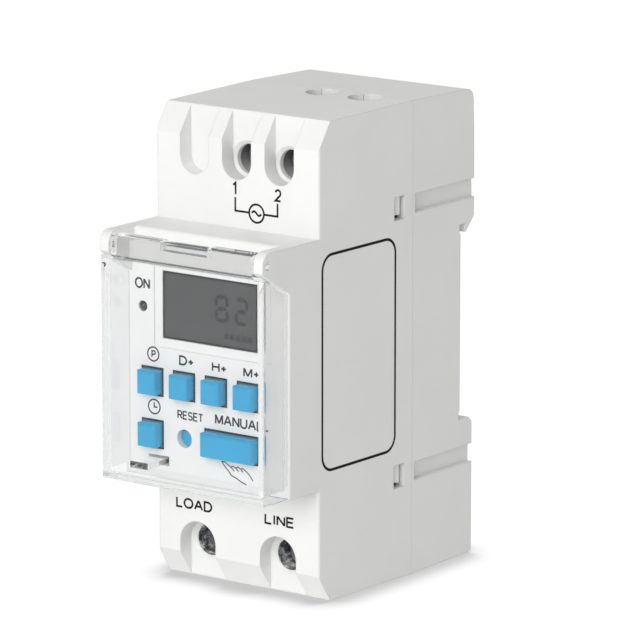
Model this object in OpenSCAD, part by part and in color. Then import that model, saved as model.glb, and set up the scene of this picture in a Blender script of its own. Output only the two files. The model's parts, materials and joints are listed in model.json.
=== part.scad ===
// DIN-rail weekly timer, two modules wide, in the pieces it comes apart into.
// The origin is the centre of the rail seat. +X is right seen from the front, the front
// faces -Y, the rail lies behind at +Y and +Z is up. All sizes are in millimetres.

/* [Case] */
// Width of one DIN module
module_w = 18; // [17.5:0.1:18]
// Height of the case over the terminals
case_h = 86; // [85:0.5:90]
// Height of the raised front section
raised_h = 45; // [44.5:0.1:45.5]
// Depth from the rail seat to the terminal shoulders
shoulder_d = 43; // [42:0.5:46]
// Depth from the rail seat to the control panel
panel_d = 51.8; // [50.5:0.1:54]
// Depth from the rail seat to the joint between the two shells
parting_d = 15; // [15:0.5:17]
// Depth of the rear shell behind the rail seat
back_d = 3.9; // [3.2:0.1:4.2]
// Extra depth of the upper rail hook
hook_d = 0.9; // [0.4:0.1:1.2]
// Wall of both shells
wall = 1.8; // [1.5:0.1:2]
// Height of the slope at the top and bottom front edge
slope_h = 4.9; // [4:0.1:5.5]
// Depth of that slope
slope_d = 3.4; // [2.5:0.1:4]
// Round on the front upright edges
front_r = 0.6; // [0.3:0.1:1]
// Round on the front edges of the raised section
raised_r = 0.8; // [0.5:0.1:1.2]
// Round on the upper rear edge
rear_top_r = 2; // [1:0.1:3]
// Round on the other rear edges
rear_r = 0.8; // [0.4:0.1:1.5]
// Draft of the front shell at the top and the bottom
front_draft = 0.3; // [0.1:0.05:0.5]
// Draft of the rear shell, each side
draft = 0.35; // [0.1:0.05:0.5]
// Height of each terminal bank
bank_h = 16; // [15.8:0.1:16.4]

/* [Rail fitting] */
// Height of the rail recess
rail_slot = 35.3; // [35.1:0.1:35.6]
// Width of rail left for the flanges behind the hooks
rail_grip = 1.6; // [1.5:0.1:1.8]
// Overlap of the fixed upper hook on the rail
hook_lap = 0.8; // [0.5:0.1:1.2]
// Room above the rail's upper flange
hook_room = 0.8; // [0.6:0.1:1]
// Width of the sliding clip
clip_w = 11.2; // [9:0.2:13]
// Width of each runner along the clip
runner_w = 1.6; // [1:0.1:2]
// Thickness of the runners
runner_t = 1.7; // [1.4:0.1:1.8]
// Overlap of the clip's latch on the rail
latch_lap = 1.3; // [1:0.1:1.6]
// Travel of the clip
clip_travel = 3.5; // [3:0.1:4]
// Running clearance of the clip
clip_gap = 0.2; // [0.1:0.05:0.3]
// Outside diameter of the clip spring
spring_d = 3.4; // [3:0.1:3.8]
// Wire of the clip spring
spring_wire = 0.5; // [0.4:0.05:0.6]
// Length of the clip spring as fitted
spring_len = 14; // [12:0.5:15]
// Turns of the clip spring
spring_turns = 9; // [7:1:11]

/* [Terminals] */
// Distance between the upper terminals
top_pitch = 9.4; // [9.3:0.1:9.6]
// Distance of the upper screws from the top of the case
top_in = 8.7; // [8.5:0.1:9]
// Distance between the lower terminals
low_pitch = 18; // [17:0.1:18.4]
// Distance of the lower screws from the bottom of the case
low_in = 6.9; // [6.7:0.1:7.2]
// Diameter of the upper screwdriver hole
top_hole_d = 5.4; // [5:0.1:5.6]
// Diameter of the lower screwdriver hole
low_hole_d = 5.8; // [5.4:0.1:5.8]
// Width of the upper scallops
top_scallop_w = 6.4; // [6:0.1:7]
// Width of the lower scallops
low_scallop_w = 8; // [7:0.1:8.6]
// Depth of the scallops
scallop_d = 3.2; // [2.8:0.1:3.4]
// Diameter of the wire entries
wire_d = 6.6; // [6:0.1:6.6]
// Distance of the wire entries in front of the shell joint
wire_lead = 2.4; // [2.2:0.1:2.6]
// Length of the screwdriver hole's straight wall
access_len = 1; // [0.8:0.1:1.4]
// Diameter of the terminal screw's head
head_d = 6; // [5.9:0.1:6.1]
// Height of the terminal screw's head
head_h = 2.4; // [2:0.1:3]
// Depth of the head below the scallop's floor
head_sunk = 4; // [3.5:0.1:4.5]
// Thread diameter of the terminal screw
screw_d = 4; // [3.5:0.5:4]
// Width of the clamp cage
cage_w = 8.2; // [8:0.1:8.4]
// Height of the clamp cage along the wire
cage_h = 8; // [7:0.1:8.2]
// Side wall of the clamp cage
cage_t = 0.8; // [0.6:0.1:1]
// Threaded wall of the clamp cage
cage_nut_t = 2.4; // [2:0.1:2.6]
// Clamping wall of the clamp cage
cage_jaw_t = 1.4; // [1.2:0.1:1.6]
// Travel of the clamp cage
cage_travel = 5.6; // [5:0.1:5.6]
// Thickness of the contact bars
bar_t = 1.4; // [1.2:0.1:1.5]
// Width of the contact bars
bar_w = 5.6; // [5:0.1:6]
// Running clearance of the cage in its chamber
cage_gap = 0.2; // [0.1:0.05:0.25]
// Radial clearance of the screw in the cage
thread_gap = 0.05; // [0.03:0.01:0.1]

/* [Panel] */
// Distance of the display window from the left side
lcd_left = 8.6; // [8.3:0.1:8.8]
// Distance of the display window from the right side
lcd_right = 6.35; // [6.2:0.05:6.8]
// Lower edge of the display window
lcd_z0 = 3.1; // [3:0.1:3.4]
// Upper edge of the display window
lcd_z1 = 15.3; // [15:0.1:15.4]
// Width of the sunk border round the window
lcd_border = 1.7; // [1:0.1:1.8]
// Width of a small button
key_w = 4.2; // [4:0.1:4.4]
// Height of a small button
key_h = 4.5; // [4.2:0.1:4.7]
// Distance between the small buttons
key_pitch = 7.1; // [7:0.05:7.2]
// Distance of the first small button's centre from the left side
key_in = 6.45; // [6.3:0.05:6.6]
// Height of the upper row of buttons
key_z = -4.9; // [-5.2:0.1:-4.7]
// Height of the lower row of buttons
low_key_z = -14.4; // [-14.5:0.1:-14.2]
// Distance of the manual button's centre from the reset plunger
manual_in = 10.6; // [10.4:0.05:10.8]
// Width of the wide manual button
manual_w = 11.5; // [11:0.1:11.8]
// Diameter of the reset plunger
reset_d = 3; // [2.6:0.1:3.2]
// Depth of the reset plunger below the panel
reset_sunk = 1.2; // [0.8:0.1:1.4]
// How far the buttons stand out
key_proud = 2.2; // [1.8:0.1:2.4]
// Gap round each button
key_gap = 0.15; // [0.1:0.05:0.2]
// Rim that keeps each button in
key_rim = 0.6; // [0.5:0.1:0.7]
// Travel of the buttons
key_travel = 0.5; // [0.3:0.05:0.5]
// Diameter of the indicator lamp
led_d = 1.8; // [1.6:0.1:2]
// Distance of the indicator lamp from the left side
led_in = 4.4; // [4.1:0.1:4.6]
// Height of the indicator lamp
led_z = 8.4; // [7.5:0.1:9]

/* [Cover] */
// Depth of the clear cover in front of the panel
cover_d = 7.2; // [7:0.1:7.8]
// Wall of the clear cover
cover_t = 1.5; // [1.2:0.1:1.6]
// Height of the hinge axis below the top of the raised section
hinge_drop = 2.3; // [2.2:0.1:2.5]
// Distance of the hinge axis behind the cover's face
hinge_in = 1.6; // [1.5:0.1:1.7]
// Radius of the ears below the hinge axis
knuckle_r = 2; // [1.9:0.1:2.1]
// Round at the upper front corner of the ears
ear_round = 2.2; // [1.8:0.1:2.3]
// Width of the ears
ear_w = 2; // [1.8:0.1:2.4]
// Diameter of the hinge pins
pin_d = 1.5; // [1.3:0.1:1.6]
// Radial clearance of the hinge pins
pin_gap = 0.06; // [0.03:0.01:0.1]
// Gap between the cover and the case
cover_gap = 0.4; // [0.3:0.05:0.5]
// Slope of the ear's lower edge, in degrees
ear_slope = 30; // [28:1:32]

/* [Boards] */
// Thickness of both circuit boards
board_t = 1.6; // [1.5:0.1:1.6]
// Distance from the panel's inside to the display board
switch_room = 5.7; // [5.6:0.1:5.8]
// Distance from the wire entries' axis forward to the main board
main_lead = 3.6; // [3.5:0.1:3.8]
// Height of the switch bodies
switch_h = 3.5; // [3.4:0.1:3.6]
// Width of the switch bodies
switch_w = 6; // [5.8:0.1:6]
// Diameter of the switch plungers
plunger_d = 3.5; // [3:0.1:3.5]
// Thickness of the display glass
glass_t = 2.4; // [2:0.1:2.6]
// Height of the relay above the main board
relay_h = 18; // [17:0.1:18.2]
// Width of the relay
relay_w = 27.5; // [26:0.1:28]
// Length of the relay
relay_l = 32.5; // [30:0.1:34]

/* [Components] */
// Length of the film capacitor
film_l = 18; // [16:0.5:18]
// Thickness of the film capacitor
film_t = 5.5; // [5:0.1:5.7]
// Height of the tall components behind the main board
tall_h = 11; // [10:0.1:11.4]
// Diameter of the smoothing capacitor
can_d = 8; // [7:0.1:8.2]
// Diameter of the varistor
disc_d = 8.4; // [7:0.1:8.6]
// Thickness of the varistor
disc_t = 3.2; // [2.8:0.1:3.6]
// Diameter of the diodes
diode_d = 2.6; // [2.4:0.1:3]
// Length of the diodes
diode_l = 5; // [4.6:0.1:5.4]
// Diameter of the dropper resistor
dropper_d = 3.8; // [3.4:0.1:4]
// Length of the dropper resistor
dropper_l = 10; // [9:0.1:11]
// Width of the controller chip
chip_w = 10; // [9:0.5:10]
// Diameter of the backup cell
cell_d = 11.5; // [10:0.5:11.5]
// Thickness of the backup cell
cell_h = 3; // [2.6:0.1:3.2]
// Diameter of the crystal
crystal_d = 2; // [1.8:0.1:2.2]
// Length of the crystal
crystal_l = 6; // [5.5:0.1:6.2]
// Thickness of the plastic bodies of the board header
header_h = 2.5; // [2.2:0.1:2.6]
// Pitch of the board header's pins
header_pitch = 2; // [1.9:0.05:2]

/* [Hidden] */
$fn = 48;
eps = 0.01;
over = 1;

white = [0.93, 0.93, 0.92];
blue = [0.2, 0.67, 0.86];
clear = [0.85, 0.92, 0.95, 0.4];
steel = [0.72, 0.73, 0.75];
brass = [0.85, 0.72, 0.4];
board_green = [0.1, 0.42, 0.24];
black = [0.1, 0.1, 0.11];

// Outline of the case
half_w = module_w;
half_h = case_h / 2;
half_raised = raised_h / 2;
bay_half = half_h - bank_h;
top_z = half_h - top_in;
low_z = half_h - low_in;
y_panel = -panel_d;
y_shoulder = -shoulder_d;
y_joint = -parting_d;
y_back = back_d;
y_hook = y_back + hook_d;
half_joint = half_h + front_draft;
y_panel_in = y_panel + wall;
y_shoulder_in = y_shoulder + wall;
inner_x = half_w - wall;
inner_raised = half_raised - wall;

// Rail fitting
rail_half = rail_slot / 2;
seat_wall = 2;
clip_back = y_back - 0.1;
channel_floor = -0.6;
channel_half = clip_w / 2 + runner_w + clip_gap;
channel_top = -rail_half;
clip_bottom = -half_h + 0.2;
seat_relief = 0.3;
clip_top = channel_top - 0.25;
latch_tip = -rail_half + latch_lap + 0.15;
spring_y = channel_floor - spring_d / 2 - 0.3;
spring_foot = -half_h + 5;
spring_head = spring_foot + spring_len;
boss_h = 2;
pocket_half = spring_d / 2 + 0.3;
pocket_floor = spring_y - pocket_half;
shallow_z = -rail_half - 1.35;
shallow_floor = pocket_floor - 1.8;

// Terminals: x, height, side (1 up, -1 down), hole, scallop
T1 = [0, top_z, 1, top_hole_d, top_scallop_w];
T2 = [top_pitch, top_z, 1, top_hole_d, top_scallop_w];
T_BLANK = [-top_pitch, top_z, 1, top_hole_d, top_scallop_w];
T_LOAD = [-low_pitch / 2, -low_z, -1, low_hole_d, low_scallop_w];
T_LINE = [low_pitch / 2, -low_z, -1, low_hole_d, low_scallop_w];
TERMINALS = [T1, T2, T_LOAD, T_LINE];
y_floor = y_shoulder + scallop_d;
mouth_h = 0.6;
access_wall = mouth_h + access_len;
y_head = y_floor + head_sunk;
y_shank = y_head + head_h;
y_wire = y_joint - wire_lead;
y_main = y_wire - main_lead;
y_bar = y_main - bar_t;
y_jaw = y_wire + wire_d / 2 + 0.1;
y_nut = y_bar - 0.6;
tip_gap = 0.1;
chamber_front = y_nut - cage_nut_t - cage_travel - 1;
chamber_back = y_jaw + cage_jaw_t + 0.3;
chamber_half_x = cage_w / 2 + cage_gap;
chamber_half_z = cage_h / 2 + cage_gap;
head_gap = 0.15;
pad_in = 4.6;
bar_seat = 1;

// Snaps between the shells
snap_z = bay_half - 2.55;
snap_h = 4.3;
tongue_h = 3.4;
tongue_t = 1.1;
tongue_lift = (snap_h - tongue_h) / 2 - 0.1;
window_near = 2.45;
window_far = 5.6;
barb_gap = 0.9;
band_d = 1.2;
band_start = 0.7;
band_up = [snap_z - 1.55, snap_z + 1.95];
band_down = [-snap_z - 1.65, -snap_z + 1.75];

// Panel
y_key = y_panel - key_proud;
y_display = y_panel_in + switch_room;
y_display_rear = y_display + board_t;
y_switch = y_display - switch_h;
rim_t = 0.9;
rim_gap = 0.05;
y_rim = y_panel_in + rim_gap;
y_plunger = y_switch - 0.8;
plunger_gap = 0.05;
plunger_len = 2.1;
key_x = -half_w + key_in;
P_KEY = [key_x, key_z];
D_KEY = [key_x + key_pitch, key_z];
H_KEY = [key_x + 2 * key_pitch, key_z];
M_KEY = [key_x + 3 * key_pitch, key_z];
C_KEY = [key_x, low_key_z];
R_KEY = [key_x + key_pitch, low_key_z];
MAN_KEY = [R_KEY[0] + manual_in, low_key_z];
led_x = -half_w + led_in;
KEYS = [P_KEY, D_KEY, H_KEY, M_KEY, C_KEY];
SWITCHES = [P_KEY, D_KEY, H_KEY, M_KEY, C_KEY, R_KEY, MAN_KEY];
board_half_x = inner_x - 0.3;
board_half_z = inner_raised - 0.3;
corner_x = inner_x - 1.8;
corner_z = inner_raised - 2.1;
DISPLAY_SCREWS = [[-corner_x, corner_z], [corner_x, corner_z], [corner_x, -corner_z],
  [key_x + key_pitch, -inner_raised + 1.6]];
boss_r = 1.4;
pilot_r = 0.75;
latch_x = -half_w + 7.8;
latch_w = 4.6;
latch_z = -18.8;
latch_t = 0.9;

// Display
lcd_x0 = -half_w + lcd_left;
lcd_x1 = half_w - lcd_right;
glass_sunk = 0.35;
glass_gap = 0.12;
glass_over_x = 1.7;
glass_over_z = 1.5;
glass_x0 = lcd_x0 - glass_over_x;
glass_x1 = lcd_x1 + glass_over_x;
glass_z0 = lcd_z0 - glass_over_z - 0.7;
glass_z1 = lcd_z1 + glass_over_z;
y_glass = y_panel_in + glass_t;

// Cover and its hinge
y_cover = y_panel - cover_d;
y_hinge = y_cover + hinge_in;
z_hinge = half_raised - hinge_drop;
bar_low = 2.5;
bar_high = 1.9;
bar_back = 1.7;
bar_r = 0.8;
bar_tail = 2;
notch_w = 10.4;
ear_root = y_panel + raised_r + 0.2;
ear_in = half_w - ear_w;
cover_low = -half_raised + 0.3;
cover_rear = y_panel - 0.1;
pin_r = pin_d / 2;

// Main board
main_half_x = inner_x - tongue_t - 0.5;
main_half_z = bay_half - 0.4;
y_main_rear = y_main + board_t;
MAIN_SCREWS = [[-8, main_half_z - 2.6], [0, -main_half_z + 2.1]];
relay_gap = 0.65;
relay_low = -bay_half + pad_in + relay_gap;
relay_z = relay_low + relay_l / 2;
coil_z = relay_low + relay_l - 4.2;
pole_z = relay_low + 3.8;
RELAY_LEGS = [[-10, coil_z], [10, coil_z], [-6, pole_z], [6, pole_z], [0, pole_z]];
HEADER_N = 6;
header_x = -12;
header_z = corner_z - 1.5;
HEADER = [for (i = [0:HEADER_N - 1]) [header_x + i * header_pitch, header_z]];
FILM = [-4, 12];
CAN = [9.5, 14];
DISC = [-8, 3];
DIODES = [for (i = [-1:2]) [6, -4 * i]];
DROPPER = [-5.5, -13];
CELL = [8, 12.4];
CRYSTAL = [12.2, -10];
diode_span = 10;
dropper_span = 15;
CAP_LEGS = pair(FILM, film_l - 4);
CAN_LEGS = pair(CAN, can_d / 3);
MOV_LEGS = pair(DISC, 5);
DIODE_LEGS = [for (at = DIODES) each pair(at, diode_span)];
DROPPER_LEGS = pair(DROPPER, dropper_span);
MAIN_LEGS = concat(RELAY_LEGS, HEADER, CAP_LEGS, CAN_LEGS, MOV_LEGS, DIODE_LEGS, DROPPER_LEGS);
LED_LEGS = [[led_x - 0.6, led_z], [led_x + 0.6, led_z]];
leg_r = 0.35;
leg_hole_r = 0.42;
leg_trim = 0.15;

// ---- helpers ----

// Two points a span apart along x, centred on a place
function pair(at, span) = [for (s = [-1, 1]) [at[0] + s * span / 2, at[1]]];

// Extrudes a shape drawn in (y, z) along x
module along_x(x0, x1) {
  translate([x0, 0, 0]) rotate([90, 0, 90]) linear_extrude(x1 - x0) children();
}

// Extrudes a shape drawn in (x, z) along y
module along_y(y0, y1) {
  translate([0, y1, 0]) rotate([90, 0, 0]) linear_extrude(y1 - y0) children();
}

// Extrudes a shape drawn in (x, y) along z
module along_z(z0, z1) {
  translate([0, 0, z0]) linear_extrude(z1 - z0) children();
}

// A block between two corners
module block(a, b) {
  translate(a) cube([b[0] - a[0], b[1] - a[1], b[2] - a[2]]);
}

// A rectangle with round corners, centred
module round_rect(w, h, r) {
  square([w - 2 * r, h], center = true);
  square([w, h - 2 * r], center = true);
  for (sx = [-1, 1], sy = [-1, 1])
    translate([sx * (w / 2 - r), sy * (h / 2 - r)]) circle(r);
}

// What a round takes off a square corner at the origin that points to +x, +y
module corner_waste(r) {
  difference() {
    translate([-r, -r]) square(r + over);
    translate([-r, -r]) circle(r);
  }
}

// A pin or a bore along y
module rod_y(x, z, r, y0, y1) {
  translate([x, y1, z]) rotate([90, 0, 0]) cylinder(r = r, h = y1 - y0);
}

// Legs of a component, and the holes for them
module legs(points, r, y0, y1) {
  for (p = points) rod_y(p[0], p[1], r, y0, y1);
}

// ---- shells ----

// Plan of the case, x against y, between two depths
module plan(y0, y1, rf, rr) {
  difference() {
    translate([-half_w, y0]) square([2 * half_w, y1 - y0]);
    for (s = [0, 1]) mirror([s, 0]) {
      if (rf > 0) translate([half_w, y0]) mirror([0, 1]) corner_waste(rf);
      if (rr > 0) translate([half_w, y1]) corner_waste(rr);
    }
  }
}

module front_outside() {
  intersection() {
    along_x(-half_w, half_w) polygon([
      [y_joint, -half_joint], [y_joint, half_joint],
      [y_shoulder + slope_d, half_h], [y_shoulder, half_h - slope_h],
      [y_shoulder, -half_h + slope_h], [y_shoulder + slope_d, -half_h]]);
    along_z(-half_joint - over, half_joint + over) plan(y_shoulder, y_joint, front_r, 0);
  }
  intersection() {
    along_x(-half_w, half_w) difference() {
      translate([y_panel, -half_raised]) square([y_joint - y_panel - over, raised_h]);
      for (s = [0, 1]) mirror([0, s])
        translate([y_panel, half_raised]) mirror([1, 0]) corner_waste(raised_r);
    }
    along_z(-half_raised, half_raised) plan(y_panel, y_joint - over, raised_r, 0);
  }
}

// Side of an ear: it drops round the hinge axis and leans back to the panel
module ear_side() {
  lean = (knuckle_r / cos(ear_slope)) + (ear_root - y_hinge) * tan(ear_slope);
  intersection() {
    translate([y_hinge, z_hinge]) circle(knuckle_r);
    translate([y_cover, z_hinge - knuckle_r]) square([2 * knuckle_r, knuckle_r]);
  }
  difference() {
    polygon([
      [y_cover, z_hinge], [y_cover, half_raised], [ear_root, half_raised],
      [ear_root, z_hinge - lean],
      [y_hinge - knuckle_r * sin(ear_slope), z_hinge - knuckle_r * cos(ear_slope)],
      [y_hinge, z_hinge]]);
    translate([y_cover, half_raised]) mirror([1, 0]) corner_waste(ear_round);
  }
}

module ears() {
  for (s = [0, 1]) mirror([s, 0, 0]) along_x(ear_in, half_w) ear_side();
}

// Room that one terminal takes out of the front shell
module front_chamber(t) {
  x = t[0];
  z = t[1];
  rod_y(x, z, head_d / 2 + head_gap, y_floor + access_wall, chamber_front + eps);
  block([x - chamber_half_x, chamber_front, z - chamber_half_z],
    [x + chamber_half_x, y_joint + over, z + chamber_half_z]);
  bar_slot(t, y_joint + over);
  wire_entry(t);
  rod_y(x, z, t[3] / 2, y_floor - over, y_floor + access_wall + eps);
  translate([x, y_floor + mouth_h, z]) rotate([90, 0, 0])
    cylinder(r1 = t[3] / 2, r2 = t[3] / 2 + 0.7, h = mouth_h + eps);
}

// Round hole for the wire, from the chamber out through the end of the case
module wire_entry(t) {
  translate([t[0], y_wire, t[1]]) mirror([0, 0, t[2] > 0 ? 0 : 1])
    cylinder(r = wire_d / 2, h = half_joint - abs(t[1]) + over);
}

// Slot that the contact bar lies in, from the bay to beyond the cage
module bar_slot(t, y_end) {
  z0 = t[2] > 0 ? bay_half - over : t[1] - chamber_half_z - bar_seat;
  z1 = t[2] > 0 ? t[1] + chamber_half_z + bar_seat : -bay_half + over;
  block([t[0] - bar_w / 2 - 0.1, y_bar - 0.05, z0], [t[0] + bar_w / 2 + 0.1, y_end, z1]);
}

// Scallop that leads a screwdriver in, open through the sloped edge
module scallop(t) {
  r = t[4] / 2;
  rod_y(t[0], t[1], r, y_shoulder - over, y_floor);
  block([t[0] - r, y_shoulder - over, min(t[1], t[2] * (half_h + over))],
    [t[0] + r, y_floor, max(t[1], t[2] * (half_h + over))]);
}

module snap_windows() {
  for (sx = [0, 1], sz = [0, 1]) mirror([sx, 0, 0]) mirror([0, 0, sz])
    block([inner_x - over, y_joint - window_far, snap_z - snap_h / 2],
      [half_w + over, y_joint - window_near, snap_z + snap_h / 2]);
}

module panel_openings() {
  for (k = KEYS) along_y(y_panel - over, y_panel_in + over)
    translate(k) round_rect(key_w + 2 * key_gap, key_h + 2 * key_gap, 0.4);
  along_y(y_panel - over, y_panel_in + over)
    translate(MAN_KEY) round_rect(manual_w + 2 * key_gap, key_h + 2 * key_gap, 0.4);
  rod_y(R_KEY[0], R_KEY[1], reset_d / 2 + key_gap, y_panel - over, y_panel_in + over);
  rod_y(led_x, led_z, led_d / 2 + 0.05, y_panel - over, y_panel_in + over);
  block([lcd_x0, y_panel - over, lcd_z0], [lcd_x1, y_panel_in + over, lcd_z1]);
  block([lcd_x0 - lcd_border, y_panel - over, lcd_z0 - lcd_border],
    [lcd_x1 + lcd_border, y_panel + 0.25, lcd_z1 + lcd_border]);
  block([latch_x - latch_w / 2, y_panel - over, latch_z - 1.1],
    [latch_x + latch_w / 2, y_panel_in + over, latch_z + 0.6]);
}

module front_housing() {
  color(white) {
    difference() {
      union() {
        front_outside();
        ears();
      }
      block([-inner_x, y_panel_in, -inner_raised], [inner_x, y_joint + over, inner_raised]);
      block([-inner_x, y_shoulder_in, -bay_half], [inner_x, y_joint + over, bay_half]);
      panel_openings();
      snap_windows();
      for (t = [T1, T2, T_BLANK, T_LOAD, T_LINE]) scallop(t);
      for (t = TERMINALS) front_chamber(t);
      translate([-half_w - over, y_hinge, z_hinge]) rotate([0, 90, 0])
        cylinder(r = pin_r + pin_gap, h = 2 * half_w + 2 * over);
    }
    for (p = DISPLAY_SCREWS) difference() {
      rod_y(p[0], p[1], boss_r, y_panel_in - eps, y_display);
      rod_y(p[0], p[1], pilot_r, y_panel_in + 1, y_display + over);
    }
  }
}

// Side of the rear shell: rail recess with a fixed hook at its upper end
module rear_side() {
  relief_low = latch_tip + 0.15;
  relief_high = rail_half - hook_lap - 0.15;
  difference() {
    polygon([
      [y_joint, -half_joint], [y_back, -half_joint + draft], [y_back, -rail_half - 1],
      [y_back - 1, -rail_half], [-seat_relief, -rail_half], [-seat_relief, relief_low],
      [0, relief_low], [0, relief_high], [-seat_relief, relief_high],
      [-seat_relief, rail_half + hook_room],
      [rail_grip, rail_half + hook_room], [rail_grip, rail_half - hook_lap],
      [y_hook, rail_half - hook_lap + y_hook - rail_grip],
      [y_back, half_joint - draft], [y_joint, half_joint]]);
    translate([y_back, half_joint - draft]) corner_waste(rear_top_r);
    translate([y_back, -half_joint + draft]) mirror([0, 1]) corner_waste(rear_r);
  }
}

// Plan of the rear shell, with its draft
module rear_plan() {
  difference() {
    polygon([[-half_w, y_joint], [half_w, y_joint], [half_w - draft, y_hook],
      [-half_w + draft, y_hook]]);
    for (s = [0, 1]) mirror([s, 0]) translate([half_w - draft, y_hook])
      corner_waste(rear_r);
  }
}

// Tongue with a barb that catches in a snap window, centred on height z
module snap_tongue(z) {
  x1 = inner_x - 0.15;
  z0 = z - tongue_h / 2;
  y_tip = y_joint - window_far + 0.1;
  y_barb = y_joint - window_near - barb_gap;
  block([x1 - tongue_t, y_tip, z0], [x1, y_joint + 3, z0 + tongue_h]);
  block([x1 - eps, y_joint, z0], [inner_x + eps, y_joint + 3, z0 + tongue_h]);
  along_z(z0, z0 + tongue_h) polygon([
    [x1 - eps, y_barb], [half_w - 0.5, y_barb], [x1 + 0.5, y_tip], [x1 - eps, y_tip]]);
}

module rear_chamber(t) {
  block([t[0] - chamber_half_x, y_joint - over, t[1] - chamber_half_z],
    [t[0] + chamber_half_x, chamber_back, t[1] + chamber_half_z]);
  wire_entry(t);
}

module clip_channel() {
  block([-channel_half, channel_floor, -half_joint - over],
    [channel_half, rail_grip - 0.05, channel_top + over]);
  block([-clip_w / 2 - clip_gap, channel_floor, -half_joint - over],
    [clip_w / 2 + clip_gap, y_back + over, channel_top + over]);
  block([-pocket_half, pocket_floor, spring_foot],
    [pocket_half, channel_floor + eps, spring_head + boss_h + 0.2]);
}

module rear_housing() {
  color(white) {
    difference() {
      intersection() {
        along_x(-half_w, half_w) rear_side();
        along_z(-half_joint, half_joint) rear_plan();
      }
      block([-inner_x, y_joint - over, shallow_z], [inner_x, -seat_wall, bay_half]);
      block([-inner_x, y_joint - over, -bay_half], [inner_x, shallow_floor, shallow_z + eps]);
      for (t = TERMINALS) rear_chamber(t);
      for (s = [0, 1], b = [band_up, band_down]) mirror([s, 0, 0])
        block([half_w - band_d, y_joint + band_start, b[0]], [half_w + over, y_hook + over, b[1]]);
      clip_channel();
    }
    for (s = [0, 1], z = [snap_z, -snap_z]) mirror([s, 0, 0]) snap_tongue(z + tongue_lift);
    for (i = [0, 1]) difference() {
      rod_y(MAIN_SCREWS[i][0], MAIN_SCREWS[i][1], 2.2, y_main_rear,
        i == 0 ? -seat_wall + eps : shallow_floor + eps);
      rod_y(MAIN_SCREWS[i][0], MAIN_SCREWS[i][1], pilot_r, y_main_rear - over, y_main_rear + 8);
    }
  }
}

// ---- cover ----

// Side of the cover: a tray whose upper edge follows the ears
module cover_side() {
  lean = tan(ear_slope);
  base = z_hinge - (knuckle_r + cover_gap) / cos(ear_slope);
  difference() {
    polygon([[y_cover, cover_low], [cover_rear, cover_low],
      [cover_rear, base - (cover_rear - y_hinge) * lean],
      [y_cover, base - (y_cover - y_hinge) * lean]]);
    translate([y_cover, cover_low]) rotate(180) corner_waste(front_r);
  }
}

// Side of the hinge bar between the ears, with the wall that joins it to the tray
module bar_side() {
  difference() {
    translate([y_cover, z_hinge - bar_low])
      square([hinge_in + bar_back, bar_low + bar_high]);
    translate([y_hinge + bar_back, z_hinge + bar_high]) corner_waste(bar_r);
    translate([y_cover, z_hinge + bar_high]) mirror([1, 0]) corner_waste(bar_r);
    translate([y_hinge + bar_back, z_hinge - bar_low]) mirror([0, 1]) corner_waste(bar_r);
  }
  translate([y_cover, z_hinge - bar_low - bar_tail]) square([cover_t, bar_tail + eps]);
}

module cover() {
  color(clear) {
    difference() {
      intersection() {
        along_x(-half_w, half_w) cover_side();
        along_z(cover_low, half_raised) plan(y_cover, y_panel, front_r, 0);
      }
      block([-half_w + cover_t, y_cover + cover_t, cover_low + cover_t],
        [half_w - cover_t, y_panel + over, half_raised]);
    }
    difference() {
      along_x(-ear_in + cover_gap, ear_in - cover_gap) bar_side();
      block([-notch_w / 2, y_cover + cover_t, z_hinge],
        [notch_w / 2, y_hinge + bar_back + over, z_hinge + bar_high + over]);
    }
    for (s = [0, 1]) mirror([s, 0, 0]) translate([ear_in - cover_gap - eps, y_hinge, z_hinge])
      rotate([0, 90, 0]) cylinder(r = pin_r, h = ear_w + cover_gap - 0.3);
    cover_latch();
  }
}

// Springy finger inside the cover, with a hook that enters the panel's slot
module cover_latch() {
  x0 = latch_x - latch_w / 2 + 0.3;
  x1 = latch_x + latch_w / 2 - 0.3;
  z0 = latch_z - latch_t / 2;
  along_x(x0, x1) polygon([
    [y_cover + cover_t - eps, z0 - 0.3], [y_panel_in + 1.2, z0], [y_panel_in + 1.2, z0 + latch_t],
    [y_panel_in + 0.1, z0 + latch_t + 0.1], [y_panel_in + 0.1, z0 + latch_t - 0.2],
    [y_cover + cover_t - eps, z0 + latch_t]]);
}

// ---- rail clip ----

module rail_clip() {
  hw = clip_w / 2;
  color(white) difference() {
    union() {
      along_x(-hw, hw) polygon([
        [channel_floor + clip_gap, clip_bottom], [clip_back, clip_bottom],
        [clip_back, latch_tip - (clip_back - rail_grip - 0.1)], [rail_grip + 0.1, latch_tip],
        [rail_grip + 0.1, clip_top], [channel_floor + clip_gap, clip_top]]);
      block([-hw - runner_w, channel_floor + clip_gap, clip_bottom + 3],
        [hw + runner_w, channel_floor + clip_gap + runner_t, clip_top]);
      block([-pocket_half + 0.2, pocket_floor + 0.2, spring_head],
        [pocket_half - 0.2, channel_floor + clip_gap + eps, spring_head + boss_h]);
    }
    block([-2.6, channel_floor - over, clip_bottom + 1.4],
      [2.6, y_back + over, clip_bottom + 3.6]);
    for (i = [0:3]) block([-3.4, clip_back - 0.4, -33 + i * 1.6],
      [3.4, y_back + over, -32.2 + i * 1.6]);
  }
}

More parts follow.
